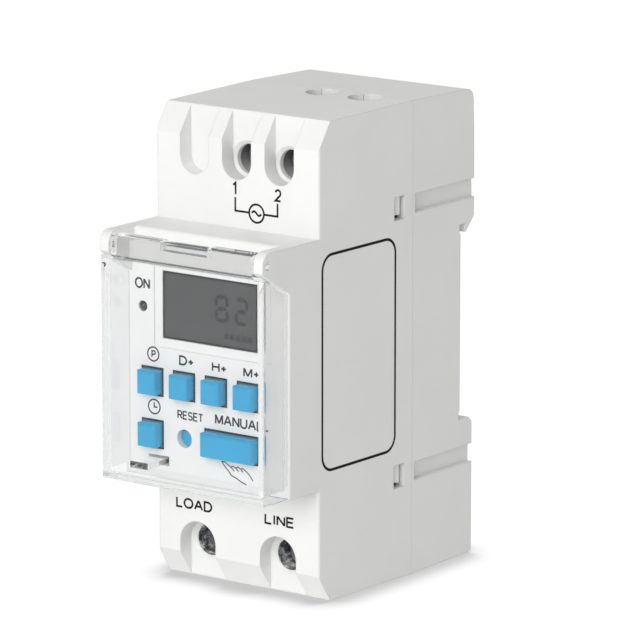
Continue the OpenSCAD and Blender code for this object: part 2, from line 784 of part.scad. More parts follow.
// A round wire wound as a compression spring, its ends drawn flat
module clip_spring() {
  sides = 8;
  per_turn = 10;
  r = (spring_d - spring_wire) / 2;
  rings = spring_turns * per_turn;
  z_low = spring_foot + spring_wire / 2 + 0.02;
  z_high = spring_head - spring_wire / 2 - 0.02;
  ease = function(u) let (e = 0.1) u < e ? u * u / (2 * e)
    : u > 1 - e ? 1 - e - (1 - u) * (1 - u) / (2 * e) : u - e / 2;
  height = function(u) z_low + (z_high - z_low) * ease(u) / ease(1);
  points = [for (i = [0:rings], j = [0:sides - 1])
    let (a = 360 * i / per_turn, b = 360 * j / sides,
      rr = r + spring_wire / 2 * cos(b))
    [rr * cos(a), spring_y + rr * sin(a), height(i / rings) + spring_wire / 2 * sin(b)]];
  walls = [for (i = [0:rings - 1], j = [0:sides - 1])
    let (k = (j + 1) % sides)
    [i * sides + j, i * sides + k, (i + 1) * sides + k, (i + 1) * sides + j]];
  ends = [[for (j = [sides - 1:-1:0]) j], [for (j = [0:sides - 1]) rings * sides + j]];
  color(steel) polyhedron(points, concat(walls, ends));
}

// ---- buttons and switches ----

// A button cap with rounded front edges, a keeping rim and a stub on the plunger
module button(at, w, h) {
  r = 0.7;
  color(blue) {
    translate([at[0], 0, at[1]]) intersection() {
      along_y(y_key, y_rim + eps) round_rect(w, h, 0.5);
      along_x(-w, w) translate([y_key + 5, 0]) round_rect(10, h, r);
      along_z(-h, h) translate([0, y_key + 5]) round_rect(w, 10, r);
    }
    along_y(y_rim, y_rim + rim_t) translate(at) square([w + 2 * key_rim, h + 2 * key_rim],
      center = true);
    rod_y(at[0], at[1], plunger_d / 2, y_rim + rim_t - eps, y_plunger);
  }
}

module reset_button() {
  color(blue) {
    rod_y(R_KEY[0], R_KEY[1], reset_d / 2, y_panel + reset_sunk, y_rim + eps);
    rod_y(R_KEY[0], R_KEY[1], reset_d / 2 + key_rim, y_rim, y_rim + rim_t);
    rod_y(R_KEY[0], R_KEY[1], plunger_d / 2 - 0.3, y_rim + rim_t - eps, y_plunger);
  }
}

module plunger(at) {
  color(black) rod_y(at[0], at[1], plunger_d / 2, y_plunger, y_plunger + plunger_len);
}

module switch_bodies() {
  color(steel) for (s = SWITCHES) difference() {
    along_y(y_switch, y_display) translate(s) round_rect(switch_w, switch_w, 0.4);
    rod_y(s[0], s[1], plunger_d / 2 + plunger_gap, y_switch - over,
      y_plunger + plunger_len + key_travel + 0.2);
  }
}

// ---- display ----

module lcd_glass() {
  step = 1.6;
  color([0.36, 0.38, 0.37]) {
    block([lcd_x0 + glass_gap, y_panel + glass_sunk, lcd_z0 + glass_gap],
      [lcd_x1 - glass_gap, y_panel_in + eps, lcd_z1 - glass_gap]);
    block([glass_x0, y_panel_in, glass_z0 + step], [glass_x1, y_panel_in + glass_t / 2, glass_z1]);
    block([glass_x0, y_panel_in + glass_t / 2 - eps, glass_z0], [glass_x1, y_glass, glass_z1]);
  }
}

module lcd_holder() {
  rim = 0.9;
  color(white) difference() {
    block([glass_x0 - rim, y_panel_in + glass_t / 2, glass_z0 - rim],
      [glass_x1 + rim, y_display, glass_z1 + rim - 0.4]);
    block([glass_x0 - 0.1, y_panel_in - over, glass_z0 - 0.1],
      [glass_x1 + 0.1, y_glass, glass_z1 + over]);
    block([glass_x0 + 1.2, y_glass - over, glass_z0 + 0.6],
      [glass_x1 - 1.2, y_display + over, glass_z1 - 0.6]);
    block([glass_x0 - rim - over, y_panel_in - over, glass_z1],
      [glass_x1 + rim + over, y_display + over, glass_z1 + 2]);
  }
}

module contact_strips() {
  color([0.85, 0.5, 0.55]) for (z = [glass_z0 + 0.8, glass_z1 - 2.8])
    block([glass_x0 + 2, y_glass, z], [glass_x1 - 2, y_display, z + 2]);
}

module status_led() {
  color([0.55, 0.08, 0.08]) {
    rod_y(led_x, led_z, led_d / 2, y_panel + 0.5, y_panel_in + 1.4);
    translate([led_x, y_panel + 0.5, led_z]) intersection() {
      sphere(r = led_d / 2);
      translate([-2, -4, -2]) cube([4, 4 + eps, 4]);
    }
    rod_y(led_x, led_z, led_d / 2 + 0.25, y_panel_in + 1.4 - eps, y_panel_in + 2);
    for (p = LED_LEGS) rod_y(p[0], p[1], 0.25, y_panel_in + 2 - eps, y_display_rear + 0.5);
  }
}

module display_board() {
  color(board_green) difference() {
    along_y(y_display, y_display_rear) round_rect(2 * board_half_x, 2 * board_half_z, 0.5);
    for (p = DISPLAY_SCREWS) rod_y(p[0], p[1], pilot_r + 0.1, y_display - over, y_display_rear + over);
    legs(HEADER, leg_hole_r, y_display - over, y_display_rear + over);
    legs(LED_LEGS, 0.3, y_display - over, y_display_rear + over);
  }
}

// Pan-head screw driven towards the front, its head on a board
module board_screw(at, y_head_face, length) {
  difference() {
    union() {
      rod_y(at[0], at[1], 1.35, y_head_face, y_head_face + 0.9);
      rod_y(at[0], at[1], pilot_r - 0.03, y_head_face - length, y_head_face + eps);
    }
    for (a = [0, 90]) translate([at[0], y_head_face + 0.9, at[1]]) rotate([0, a, 0])
      cube([1.5, 1, 0.35], center = true);
  }
}

module display_board_screws() {
  color(steel) for (p = DISPLAY_SCREWS) board_screw(p, y_display_rear, 5.5);
}

module controller_chip() {
  half = chip_w / 2;
  lead = half + 0.6;
  foot = 0.65;
  color(black) {
    block([-half, y_display_rear + 0.15, -half], [half, y_display_rear + 1.6, half]);
    for (i = [-4:4], s = [-1, 1]) let (at = i * chip_w / 10) {
      block([at - 0.2, y_display_rear, s * lead - foot],
        [at + 0.2, y_display_rear + 0.5, s * lead + foot]);
      block([s * lead - foot, y_display_rear, at - 0.2],
        [s * lead + foot, y_display_rear + 0.5, at + 0.2]);
    }
  }
}

module crystal() {
  lead_t = 0.3;
  lead_l = 1.6;
  color(steel) {
    translate([CRYSTAL[0], y_display_rear + crystal_d / 2 + 0.1, CRYSTAL[1]])
      cylinder(d = crystal_d, h = crystal_l);
    for (p = pair(CRYSTAL, crystal_d / 2))
      block([p[0] - lead_t / 2, y_display_rear, p[1] - lead_l],
        [p[0] + lead_t / 2, y_display_rear + crystal_d / 2, p[1] + eps]);
  }
}

module backup_cell() {
  tab_t = 0.2;
  step = 0.4;
  y_can = y_display_rear + cell_h - step;
  color(steel) {
    rod_y(CELL[0], CELL[1], cell_d / 2, y_display_rear + tab_t, y_can);
    rod_y(CELL[0], CELL[1], cell_d / 2 - 0.8, y_can - eps, y_can + step);
    for (s = [-1, 1]) translate([CELL[0], 0, CELL[1] + s * cell_d * 0.35])
      block([-1, y_display_rear, -0.8], [1, y_display_rear + tab_t + eps, 0.8]);
  }
}

module board_header() {
  x0 = header_x - header_pitch / 2;
  x1 = header_x + (HEADER_N - 0.5) * header_pitch;
  half = 1.25;
  color(black) for (y = [y_display_rear, y_main - header_h]) difference() {
    block([x0, y, header_z - half], [x1, y + header_h, header_z + half]);
    legs(HEADER, leg_r - 0.05, y - over, y + header_h + over);
  }
  color(brass) legs(HEADER, leg_r - 0.05, y_display - 0.6, y_main_rear + 0.6);
}

// ---- main board ----

module main_board() {
  color(board_green) difference() {
    along_y(y_main, y_main_rear) round_rect(2 * main_half_x, 2 * main_half_z, 0.5);
    for (p = MAIN_SCREWS) rod_y(p[0], p[1], pilot_r + 0.1, y_main - over, y_main_rear + over);
    legs(MAIN_LEGS, leg_hole_r, y_main - over, y_main_rear + over);
  }
}

module main_board_screws() {
  color(steel) for (p = MAIN_SCREWS) mirror([0, 1, 0]) board_screw(p, -y_main, 6);
}

module relay() {
  stand = 0.3;
  y0 = y_main - relay_h;
  color([0.16, 0.16, 0.18]) {
    along_y(y0, y_main - stand) translate([0, relay_z]) round_rect(relay_w, relay_l, 1);
    for (sx = [-1, 1], sz = [-1, 1])
      rod_y(sx * (relay_w / 2 - 1.6), relay_z + sz * (relay_l / 2 - 1.6), 0.8,
        y_main - stand - eps, y_main);
  }
  color(steel) legs(RELAY_LEGS, leg_r, y_main - stand - eps, y_main_rear + 0.8);
}

// A component on the rear of the main board: its legs reach through the board
module rear_legs(points) {
  legs(points, leg_r, y_main - leg_trim, y_main_rear + 0.6);
}

module film_capacitor() {
  color([0.85, 0.7, 0.2]) {
    along_y(y_main_rear + 0.5, y_main_rear + 0.5 + tall_h) translate(FILM)
      round_rect(film_l, film_t, 0.6);
    rear_legs(CAP_LEGS);
  }
}

module smoothing_capacitor() {
  y_end = y_main_rear + 0.5 + tall_h;
  color([0.15, 0.2, 0.35]) {
    rod_y(CAN[0], CAN[1], can_d / 2, y_main_rear + 0.5, y_end);
    rod_y(CAN[0], CAN[1], can_d / 2 - 0.3, y_end - eps, y_end + 0.4);
    rear_legs(CAN_LEGS);
  }
}

module varistor() {
  color([0.2, 0.35, 0.6]) {
    translate([DISC[0], y_main_rear + 1.4 + disc_d / 2, DISC[1] - disc_t / 2])
      cylinder(d = disc_d, h = disc_t);
    legs(MOV_LEGS, leg_r, y_main - leg_trim, y_main_rear + 3.6);
  }
}

// Axial part lying along x behind the main board, its wires bent to the board
module axial_part(at, span, r, length, tone) {
  y = y_main_rear + r + 0.6;
  color(tone) {
    translate([at[0] - length / 2, y, at[1]]) rotate([0, 90, 0]) cylinder(r = r, h = length);
    translate([at[0] - span / 2, y, at[1]]) rotate([0, 90, 0]) cylinder(r = leg_r, h = span);
    for (p = pair(at, span)) {
      translate([p[0], y, p[1]]) sphere(leg_r);
      rod_y(p[0], p[1], leg_r, y_main - leg_trim, y);
    }
  }
}

module rectifier_diodes() {
  for (at = DIODES) axial_part(at, diode_span, diode_d / 2, diode_l, black);
}

module dropper_resistor() {
  axial_part(DROPPER, dropper_span, dropper_d / 2, dropper_l, [0.6, 0.75, 0.8]);
}

// ---- terminals ----

module contact_bar(t) {
  z_in = t[2] * (bay_half - pad_in);
  z_out = t[1] + t[2] * (chamber_half_z + bar_seat - 0.1);
  color(brass) block([t[0] - bar_w / 2, y_bar, min(z_in, z_out)],
    [t[0] + bar_w / 2, y_main, max(z_in, z_out)]);
}

// Screw with a slotted cross head, its tip bearing on the contact bar
module terminal_screw(t) {
  color(steel) difference() {
    union() {
      translate([t[0], y_shank, t[1]]) rotate([90, 0, 0])
        cylinder(r = head_d / 2, h = head_h - 0.3);
      translate([t[0], y_head + 0.3, t[1]]) rotate([90, 0, 0])
        cylinder(r1 = head_d / 2, r2 = head_d / 2 - 0.3, h = 0.3);
      rod_y(t[0], t[1], screw_d / 2, y_shank - eps, y_bar - tip_gap);
    }
    translate([t[0], y_head, t[1]]) rotate([0, 35, 0]) {
      cube([head_d + over, 2.4, 1], center = true);
      cube([1, 2.8, 3.8], center = true);
    }
  }
}

// Cage that the screw draws forward to press the wire on the bar
module terminal_cage(t) {
  x0 = t[0] - cage_w / 2;
  x1 = t[0] + cage_w / 2;
  y0 = y_nut - cage_nut_t;
  y1 = y_jaw + cage_jaw_t;
  z0 = t[1] - cage_h / 2;
  z1 = t[1] + cage_h / 2;
  color(steel) difference() {
    block([x0, y0, z0], [x1, y1, z1]);
    block([x0 + cage_t, y_nut, z0 - over], [x1 - cage_t, y_jaw, z1 + over]);
    rod_y(t[0], t[1], screw_d / 2 + thread_gap, y0 - over, y_nut + over);
    for (i = [-1:1]) block([x0 + cage_t, y_jaw - over, t[1] + i * 2.2 - 0.3],
      [x1 - cage_t, y_jaw + 0.3, t[1] + i * 2.2 + 0.3]);
  }
}

front_housing();
rear_housing();
cover();
rail_clip();
clip_spring();
button(P_KEY, key_w, key_h);  // button_program
button(D_KEY, key_w, key_h);  // button_day
button(H_KEY, key_w, key_h);  // button_hour
button(M_KEY, key_w, key_h);  // button_minute
button(C_KEY, key_w, key_h);  // button_clock
reset_button();  // button_reset
button(MAN_KEY, manual_w, key_h);  // button_manual
plunger(P_KEY);  // plunger_program
plunger(D_KEY);  // plunger_day
plunger(H_KEY);  // plunger_hour
plunger(M_KEY);  // plunger_minute
plunger(C_KEY);  // plunger_clock
plunger(R_KEY);  // plunger_reset
plunger(MAN_KEY);  // plunger_manual
switch_bodies();
lcd_glass();
lcd_holder();
contact_strips();
status_led();
display_board();
display_board_screws();
controller_chip();
crystal();
backup_cell();
board_header();
main_board();
main_board_screws();
relay();
film_capacitor();
smoothing_capacitor();
varistor();
rectifier_diodes();
dropper_resistor();
terminal_screw(T1);  // terminal_screw_1
terminal_screw(T2);  // terminal_screw_2
terminal_screw(T_LOAD);  // terminal_screw_load
terminal_screw(T_LINE);  // terminal_screw_line
terminal_cage(T1);  // terminal_cage_1
terminal_cage(T2);  // terminal_cage_2
terminal_cage(T_LOAD);  // terminal_cage_load
terminal_cage(T_LINE);  // terminal_cage_line
contact_bar(T1);  // contact_bar_1
contact_bar(T2);  // contact_bar_2
contact_bar(T_LOAD);  // contact_bar_load
contact_bar(T_LINE);  // contact_bar_line
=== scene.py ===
"""Looks of the DIN-rail timer: materials, printed marks, display segments, light and camera.

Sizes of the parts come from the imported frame. Marks on the front are drawn in millimetres
from the middle of the case, x to the right and z up.
"""
import json
import math

import bmesh
import bpy
from mathutils import Matrix, Vector


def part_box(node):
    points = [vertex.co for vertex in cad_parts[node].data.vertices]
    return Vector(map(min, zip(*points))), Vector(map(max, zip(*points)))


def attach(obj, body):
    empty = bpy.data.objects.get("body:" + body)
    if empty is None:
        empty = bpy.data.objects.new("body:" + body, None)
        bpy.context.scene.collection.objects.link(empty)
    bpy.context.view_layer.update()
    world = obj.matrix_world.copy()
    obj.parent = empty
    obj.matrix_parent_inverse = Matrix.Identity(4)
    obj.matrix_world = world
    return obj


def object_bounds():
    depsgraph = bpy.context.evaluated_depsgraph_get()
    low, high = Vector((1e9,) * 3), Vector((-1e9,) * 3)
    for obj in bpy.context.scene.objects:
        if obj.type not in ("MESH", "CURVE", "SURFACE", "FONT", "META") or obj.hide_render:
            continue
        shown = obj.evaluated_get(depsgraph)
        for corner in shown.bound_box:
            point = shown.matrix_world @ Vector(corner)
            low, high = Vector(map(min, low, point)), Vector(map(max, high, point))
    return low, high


MM = 0.001
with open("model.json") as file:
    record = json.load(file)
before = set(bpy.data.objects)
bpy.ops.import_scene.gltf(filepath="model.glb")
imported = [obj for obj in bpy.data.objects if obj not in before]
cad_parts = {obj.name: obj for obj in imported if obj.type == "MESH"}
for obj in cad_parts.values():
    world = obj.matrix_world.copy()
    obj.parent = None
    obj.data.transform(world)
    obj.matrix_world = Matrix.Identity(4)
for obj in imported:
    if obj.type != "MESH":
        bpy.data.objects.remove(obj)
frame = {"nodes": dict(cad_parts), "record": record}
cad_low, cad_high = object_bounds()

# ---------------------------------------------------------------- places from the frame

cover_low, cover_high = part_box("cover")
glass_low, glass_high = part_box("lcd_glass")

KEY_PROUD = 2.2 * MM
PANEL_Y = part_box("button_program")[0][1] + KEY_PROUD
SHOULDER_Y = -43 * MM
SIDE_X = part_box("front_housing")[1][0]

# The cover's hinge bar lies above the first height, and its foot below the second
HINGE_BAR_Z = cover_high[2] - 4.5 * MM
COVER_FOOT_Z = cover_low[2] + 2 * MM

# Thickness of a printed mark
INK = 0.02 * MM

# Hidden edge of the display glass round its raised face, in millimetres
GLASS_EDGE_SIDE = 1.82
GLASS_EDGE_BELOW = 2.32
GLASS_EDGE_ABOVE = 1.62

# Hidden rim of a button round its cap, in millimetres
KEY_RIM = 0.6

# Depth under the shoulder at which the painted shade of each screw well starts
WELL_SHADE_STARTS = {"1": 4.85 * MM, "2": 4.85 * MM, "load": 3.95 * MM, "line": 3.95 * MM}

# How far the painted well shade reaches past the screw's head
WELL_SHADE_ROOM = 0.4 * MM

# ---------------------------------------------------------------- camera

CAMERA_AZIMUTH = 36.98
CAMERA_ELEVATION = 12.15
CAMERA_ROLL = -0.01
CAMERA_DISTANCE = 0.9926
CAMERA_TARGET = (-0.01324, -0.00161)
CAMERA_LENS = 304.3


def make_camera():
    """A long lens, turned to the right of the front and a little above it."""
    azimuth = math.radians(CAMERA_AZIMUTH)
    elevation = math.radians(CAMERA_ELEVATION)
    right = Vector((math.cos(azimuth), math.sin(azimuth), 0))
    level = Vector((-math.sin(azimuth), math.cos(azimuth), 0))
    forward = level * math.cos(elevation) - Vector((0, 0, math.sin(elevation)))
    up = right.cross(forward)
    place = right * CAMERA_TARGET[0] - forward * CAMERA_DISTANCE
    place.z += CAMERA_TARGET[1]
    rows = Matrix((right, up, -forward)).transposed()
    data = bpy.data.cameras.new("camera")
    data.lens = CAMERA_LENS
    data.sensor_width = 36
    data.clip_start = 0.05
    data.clip_end = 20
    camera = bpy.data.objects.new("camera", data)
    bpy.context.collection.objects.link(camera)
    roll = Matrix.Rotation(math.radians(CAMERA_ROLL), 4, "Z")
    camera.matrix_world = Matrix.Translation(place) @ rows.to_4x4() @ roll
    bpy.context.scene.camera = camera


# ---------------------------------------------------------------- materials


class Tree:
    """Adds and joins the nodes of one shader tree."""

    def __init__(self, tree):
        self.tree = tree
        self.tree.nodes.clear()

    def add(self, kind, **settings):
        node = self.tree.nodes.new(kind)
        for key, value in settings.items():
            setattr(node, key, value)
        return node

    def join(self, source, target):
        self.tree.links.new(source, target)

    def feed(self, value, target):
        """Joins a socket to the target, or sets the target to a plain number."""
        if isinstance(value, (int, float)):
            target.default_value = value
        else:
            self.join(value, target)

    def math(self, operation, first, second=0.0, clamp=False):
        node = self.add("ShaderNodeMath", operation=operation, use_clamp=clamp)
        self.feed(first, node.inputs[0])
        self.feed(second, node.inputs[1])
        return node.outputs["Value"]

    def split(self, vector):
        node = self.add("ShaderNodeSeparateXYZ")
        self.join(vector, node.inputs["Vector"])
        return node.outputs

    def span(self, factor, low, high, start=0.0, end=1.0, smooth=False):
        """Maps start..end to low..high."""
        kind = "SMOOTHSTEP" if smooth else "LINEAR"
        node = self.add("ShaderNodeMapRange", interpolation_type=kind)
        node.inputs["From Min"].default_value = start
        node.inputs["From Max"].default_value = end
        node.inputs["To Min"].default_value = low
        node.inputs["To Max"].default_value = high
        self.join(factor, node.inputs["Value"])
        return node.outputs["Result"]

    def mix_shaders(self, factor, first, second):
        node = self.add("ShaderNodeMixShader")
        self.join(factor, node.inputs["Fac"])
        self.join(first, node.inputs[1])
        self.join(second, node.inputs[2])
        return node.outputs["Shader"]

    def background(self, strength):
        node = self.add("ShaderNodeBackground")
        node.inputs["Color"].default_value = (1, 1, 1, 1)
        self.feed(strength, node.inputs["Strength"])
        return node.outputs["Background"]

    def emission(self, strength):
        node = self.add("ShaderNodeEmission")
        self.feed(strength, node.inputs["Strength"])
        return node.outputs["Emission"]

    def bent_rays(self, path):
        """Mask of rays that come from the camera through the clear cover.

        They have been refracted, or reflected inside the plastic, and met no dull surface.
        """
        inside = self.math("GREATER_THAN", path["Ray Depth"], 1.5)
        caught = self.math("MULTIPLY", path["Is Glossy Ray"], inside)
        either = self.math("MAXIMUM", path["Is Transmission Ray"], caught)
        return self.math("GREATER_THAN", either, path["Diffuse Depth"])


class Finish(Tree):
    """One material round a principled shader, with helpers for its texture."""

    INPUTS = {"color": "Base Color", "rough": "Roughness", "metal": "Metallic", "ior": "IOR",
              "clear": "Transmission Weight", "coat": "Coat Weight",
              "coat_rough": "Coat Roughness", "specular": "Specular IOR Level"}

    def __init__(self, name):
        self.material = bpy.data.materials.new(name)
        self.material.use_nodes = True
        super().__init__(self.material.node_tree)
        self.output = self.add("ShaderNodeOutputMaterial")
        self.shader = self.add("ShaderNodeBsdfPrincipled")
        self.show(self.shader.outputs["BSDF"])

    def show(self, shader):
        self.join(shader, self.output.inputs["Surface"])

    def set(self, **values):
        for key, value in values.items():
            self.shader.inputs[self.INPUTS[key]].default_value = value

    def colour(self, source):
        self.join(source, self.shader.inputs["Base Color"])

    def rough(self, source):
        self.join(source, self.shader.inputs["Roughness"])

    def place(self):
        return self.add("ShaderNodeTexCoord").outputs["Object"]

    def noise(self, scale, detail=3.0, rough=0.55, stretch=None):
        node = self.add("ShaderNodeTexNoise")
        node.inputs["Scale"].default_value = scale
        node.inputs["Detail"].default_value = detail
        node.inputs["Roughness"].default_value = rough
        place = self.place()
        if stretch:
            mapping = self.add("ShaderNodeMapping")
            mapping.inputs["Scale"].default_value = stretch
            self.join(place, mapping.inputs["Vector"])
            place = mapping.outputs["Vector"]
        self.join(place, node.inputs["Vector"])
        return node.outputs["Fac"]

    def ramp(self, factor, stops):
        node = self.add("ShaderNodeValToRGB")
        ramp = node.color_ramp
        while len(ramp.elements) < len(stops):
            ramp.elements.new(0.5)
        for element, (position, colour) in zip(ramp.elements, stops):
            element.position = position
            element.color = (*colour, 1)
        self.join(factor, node.inputs["Fac"])
        return node.outputs["Color"]

    def mottle(self, factor, colour, dark, light):
        """Colour that wavers between a darker and a lighter shade of itself."""
        return self.ramp(factor, [(0.3, shade(colour, dark)), (0.7, shade(colour, light))])

    def mix_colours(self, factor, first, second):
        node = self.add("ShaderNodeMix", data_type="RGBA")
        self.join(factor, node.inputs["Factor"])
        self.join(first, node.inputs["A"])
        self.join(second, node.inputs["B"])
        return node.outputs["Result"]

    def edges(self, radius):
        """Normal that rounds the edges off."""
        node = self.add("ShaderNodeBevel", samples=6)
        node.inputs["Radius"].default_value = radius
        return node.outputs["Normal"]

    def bump(self, height, distance, strength=1.0, normal=None):
        node = self.add("ShaderNodeBump")
        node.inputs["Distance"].default_value = distance
        node.inputs["Strength"].default_value = strength
        self.join(height, node.inputs["Height"])
        if normal is not None:
            self.join(normal, node.inputs["Normal"])
        self.join(node.outputs["Normal"], self.shader.inputs["Normal"])


def shade(colour, factor):
    return tuple(min(1.0, part * factor) for part in colour)


def screw_wells():
    """Centre, radius and the two depths of the painted shade in the well over each terminal screw.
    """
    wells = []
    for mark, start in WELL_SHADE_STARTS.items():
        low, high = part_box("terminal_screw_" + mark)
        radius = (high[0] - low[0]) / 2 + WELL_SHADE_ROOM
        wells.append(((low[0] + high[0]) / 2, (low[2] + high[2]) / 2, radius,
                      SHOULDER_Y + start, high[1]))
    return wells


def in_wells(n, wells):
    """Mask that is 1 inside the given wells: cylinders along y between two depths."""
    spot = n.split(n.place())
    flat = n.add("ShaderNodeCombineXYZ")
    n.join(spot["X"], flat.inputs["X"])
    n.join(spot["Z"], flat.inputs["Z"])
    masks = []
    for x, z, radius, front, back in wells:
        away = n.add("ShaderNodeVectorMath", operation="DISTANCE")
        away.inputs[1].default_value = (x, 0, z)
        n.join(flat.outputs["Vector"], away.inputs[0])
        near = n.math("LESS_THAN", away.outputs["Value"], radius)
        behind = n.math("GREATER_THAN", spot["Y"], front)
        ahead = n.math("LESS_THAN", spot["Y"], back)
        masks.append(n.math("MINIMUM", near, n.math("MINIMUM", behind, ahead)))
    inside = masks[0]
    for mask in masks[1:]:
        inside = n.math("MAXIMUM", inside, mask)
    return inside


def painted_well_shade(n, wells):
    """Painted shade of the wells: smooth and darker at the top above, broken by painted glints
    below.
    """
    x, z, radius, front, back = wells[0]
    height = n.split(n.place())["Z"]
    fall = n.span(height, 0.0, 1.0, z + radius, z - radius)
    # painted shade: the upper wells darken towards the top
    even = n.ramp(fall, [(0.1, (0.03, 0.03, 0.032)), (0.9, (0.5, 0.5, 0.51))])
    # painted glints: flecks that stand in for reflections of the screw heads in the lower wells
    painted_glints = n.ramp(n.noise(1100, 2, 0.7, stretch=(0.5, 0.5, 1)),
                    [(0.4, (0.06, 0.06, 0.065)), (0.52, (0.25, 0.25, 0.26)),
                     (0.66, (0.85, 0.87, 0.88))])
    return n.mix_colours(n.math("GREATER_THAN", height, 0.0), painted_glints, even)


def moulded(name, colour, rough):
    """Injection-moulded plastic: spark-eroded grain, faint flow mottling, soft edges.

    The wells of the terminal screws have painted shade in them, and painted glints in the lower
    ones.
    """
    n = Finish(name)
    tint = n.mottle(n.noise(60, 4, 0.6), colour, 0.98, 1.02)
    wells = screw_wells()
    # painted shade and painted glints inside the screw wells
    n.colour(n.mix_colours(in_wells(n, wells), tint, painted_well_shade(n, wells)))
    n.rough(n.span(n.noise(900, 2), rough - 0.05, rough + 0.07))
    n.set(ior=1.5, specular=0.4)
    n.bump(n.noise(5200, 2, 0.6), 0.012 * MM, 0.6, n.edges(0.25 * MM))
    return n.material


def satin_blue(name, colour):
    """Smooth blue plastic of the buttons."""
    n = Finish(name)
    n.colour(n.mottle(n.noise(140, 3), colour, 0.96, 1.05))
    n.rough(n.span(n.noise(1500, 2), 0.26, 0.34))
    n.set(ior=1.5)
    n.bump(n.noise(4200, 2), 0.004 * MM, 0.5, n.edges(0.15 * MM))
    return n.material


def clear_plastic(name):
    """Polished clear polycarbonate, with painted shade that makes the side walls and the hinge bar
    greyer.

    Shadow rays and rays that met a dull surface pass straight through a faint veil. So do
    rays caught inside the cover, and sooner at its foot.
    """
    clear, painted_shade_grey = (0.975, 0.98, 0.985), (0.74, 0.74, 0.74)
    facing_sideways = 0.7
    caught_depth = 2.5
    n = Finish(name)
    n.set(clear=1.0, ior=1.54, specular=0.5)
    height = n.split(n.place())["Z"]
    normal = n.split(n.add("ShaderNodeTexCoord").outputs["Normal"])
    side = n.math("GREATER_THAN", n.math("ABSOLUTE", normal["X"]), facing_sideways)
    hinge = n.math("GREATER_THAN", height, HINGE_BAR_Z)
    # painted shade: faces turned sideways and the hinge bar get a grey tint
    n.colour(n.ramp(n.math("MAXIMUM", side, hinge), [(0.0, clear), (1.0, painted_shade_grey)]))
    n.rough(n.span(n.noise(300, 2), 0.01, 0.035))
    n.bump(n.noise(90, 2), 0.01 * MM, 0.25, n.edges(0.3 * MM))
    path = n.add("ShaderNodeLightPath").outputs
    depth = n.math("ADD", path["Ray Depth"], n.math("LESS_THAN", height, COVER_FOOT_Z))
    deep = n.math("GREATER_THAN", depth, caught_depth)
    bounced = n.math("MAXIMUM", path["Is Shadow Ray"], path["Diffuse Depth"])
    veil = n.add("ShaderNodeBsdfTransparent")
    veil.inputs["Color"].default_value = (0.98, 0.983, 0.983, 1)
    straight = n.math("MAXIMUM", bounced, deep, clamp=True)
    n.show(n.mix_shaders(straight, n.shader.outputs["BSDF"], veil.outputs["BSDF"]))
    return n.material


def plated(name, colour, rough, turned=False):
    """Plated metal with fine drawing lines and a cloudy plating."""
    n = Finish(name)
    n.colour(n.mottle(n.noise(260, 4, 0.7), colour, 0.78, 1.08))
    lines = n.noise(900, 3, 0.6, stretch=(1, 1, 9) if turned else (9, 1, 1))
    n.rough(n.span(lines, rough - 0.08, rough + 0.12))
    n.set(metal=1.0)
    n.bump(lines, 0.006 * MM, 0.5, n.edges(0.1 * MM))
    return n.material


def solder_mask(name):
    """Green lacquered circuit board with faint tracks under the lacquer."""
    n = Finish(name)
    tracks = n.add("ShaderNodeTexBrick")
    tracks.inputs["Scale"].default_value = 320
    tracks.inputs["Color1"].default_value = (0.012, 0.11, 0.045, 1)
    tracks.inputs["Color2"].default_value = (0.02, 0.15, 0.06, 1)
    tracks.inputs["Mortar"].default_value = (0.008, 0.075, 0.03, 1)
    n.join(n.place(), tracks.inputs["Vector"])
    n.colour(tracks.outputs["Color"])
    n.set(rough=0.3, coat=0.4, coat_rough=0.15)
    n.bump(tracks.outputs["Fac"], 0.03 * MM, 0.4)
    return n.material


def lcd_face(name):
    """Grey polariser of the display, slightly uneven, under a thin glossy film."""
    n = Finish(name)
    n.colour(n.ramp(n.noise(70, 3), [(0.3, (0.042, 0.046, 0.046)), (0.7, (0.052, 0.056, 0.056))]))
    n.rough(n.span(n.noise(2500, 2), 0.3, 0.38))
    n.set(ior=1.5, coat=0.08, coat_rough=0.2)
    n.bump(n.noise(6000, 2), 0.002 * MM, 0.4)
    return n.material


def ink(name, colour, rough=0.5):
    """Pad-printed ink, slightly uneven in cover."""
    n = Finish(name)
    n.colour(n.ramp(n.noise(2200, 3), [(0.25, shade(colour, 0.8)), (0.75, shade(colour, 1.6))]))
    n.set(rough=rough, specular=0.35)
    n.bump(n.noise(9000, 2), 0.004 * MM, 0.5)
    return n.material


def lens_red(name):
    """Tinted lens of the lamp, dark while the lamp is off."""
    n = Finish(name)
    n.colour(n.ramp(n.noise(1500, 2), [(0.3, (0.012, 0.002, 0.002)), (0.7, (0.03, 0.004, 0.004))]))
    n.set(rough=0.2, coat=0.4, coat_rough=0.05, clear=0.15)
    n.bump(n.noise(3000, 2), 0.003 * MM, 0.3)
    return n.material


def part_finish(name, colour, rough, coat=0.0):
    """Finish of a small electrical component: mottled colour, light grain."""
    n = Finish(name)
    n.colour(n.mottle(n.noise(800, 3), colour, 0.85, 1.1))
    n.rough(n.span(n.noise(1600, 2), rough - 0.06, rough + 0.08))
    n.set(coat=coat)
    n.bump(n.noise(3200, 2), 0.01 * MM, 0.4)
    return n.material


